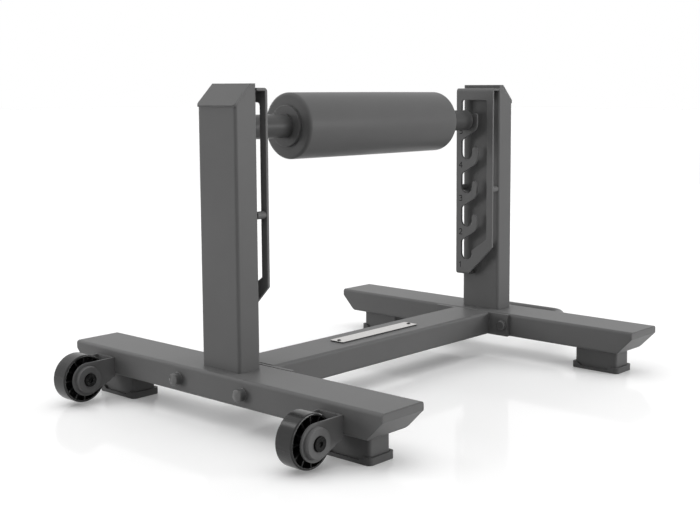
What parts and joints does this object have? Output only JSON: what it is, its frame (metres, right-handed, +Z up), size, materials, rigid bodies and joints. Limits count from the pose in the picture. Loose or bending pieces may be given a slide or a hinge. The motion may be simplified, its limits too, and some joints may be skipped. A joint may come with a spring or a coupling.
{
  "type": "split squat stand",
  "caption": "Low stand with two floor runners, two uprights with stepped hook plates, and a padded roller that the rear foot rests on.",
  "frame": {"origin": "on the floor, midway between the two runners and under the crossbeam's centre line", "axes": "+Z up, +X along the crossbeam from the wheeled runner to the runner with the lifting handle, -Y the front, away from the hooks' seats"},
  "size_m": [1.0612, 0.81, 0.6015],
  "materials": {
    "frame_coat": "satin dark grey powder coat",
    "hook_plate_coat": "satin dark grey powder coat",
    "fork_coat": "satin dark grey powder coat",
    "bar_coat": "smooth dark grey coat",
    "coated_fasteners": "dark grey coat",
    "black_fasteners": "black oxide",
    "shoe_rubber": "matt",
    "wheel_plastic": "moulded, satin",
    "bush_steel": "turned",
    "nameplate_metal": "brushed, champagne silver",
    "roller_cover": "smooth satin grey vinyl over foam",
    "core_steel": "bare tube",
    "end_disc_plastic": "moulded",
    "bush_plastic": "moulded"
  },
  "bodies": {
    "frame": {"left_runner": "frame_coat", "right_runner": "frame_coat", "left_runner_end_plates": "frame_coat", "right_runner_end_plates": "frame_coat", "left_upright": "frame_coat", "right_upright": "frame_coat", "left_upright_cap": "frame_coat", "right_upright_cap": "frame_coat", "left_hook_plate": "hook_plate_coat", "right_hook_plate": "hook_plate_coat", "hook_plate_spacers": "hook_plate_coat", "crossbeam": "frame_coat", "left_beam_flange": "frame_coat", "right_beam_flange": "frame_coat", "flange_bolts": "coated_fasteners", "flange_washers": "coated_fasteners", "flange_dome_nuts": "coated_fasteners", "left_front_foot_post": "frame_coat", "left_rear_foot_post": "frame_coat", "right_front_foot_post": "frame_coat", "right_rear_foot_post": "frame_coat", "left_front_foot_shoe": "shoe_rubber", "left_rear_foot_shoe": "shoe_rubber", "right_front_foot_shoe": "shoe_rubber", "right_rear_foot_shoe": "shoe_rubber", "rear_wheel_fork": "fork_coat", "front_wheel_fork": "fork_coat", "wheel_fork_discs": "fork_coat", "wheel_axle_bolts": "black_fasteners", "wheel_axle_nuts": "black_fasteners", "lifting_handle": "frame_coat", "nameplate": "nameplate_metal", "nameplate_rivets": "black_fasteners"},
    "roller_bar": {"roller_bar": "bar_coat", "roller_collars": "bar_coat"},
    "roller": {"roller_pad": "roller_cover", "roller_core_tube": "core_steel", "roller_end_discs": "end_disc_plastic", "roller_bushes": "bush_plastic"},
    "rear_wheel": {"rear_wheel": "wheel_plastic", "rear_wheel_bush": "bush_steel"},
    "front_wheel": {"front_wheel": "wheel_plastic", "front_wheel_bush": "bush_steel"}
  },
  "joints": [
    {"name": "roller_bar_lift", "type": "slide", "parent": "frame", "child": "roller_bar", "axis": [0, 0, 1], "range_m": [0, 0.03]},
    {"name": "roller_spin", "type": "hinge", "parent": "roller_bar", "child": "roller", "pos_m": [0, 0.021, 0.5234], "axis": [1, 0, 0], "continuous": true},
    {"name": "rear_wheel_spin", "type": "hinge", "parent": "frame", "child": "rear_wheel", "pos_m": [-0.493, 0.304, 0.0503], "axis": [0, 1, 0], "continuous": true},
    {"name": "front_wheel_spin", "type": "hinge", "parent": "frame", "child": "front_wheel", "pos_m": [-0.493, -0.2975, 0.0503], "axis": [0, 1, 0], "continuous": true}
  ]
}
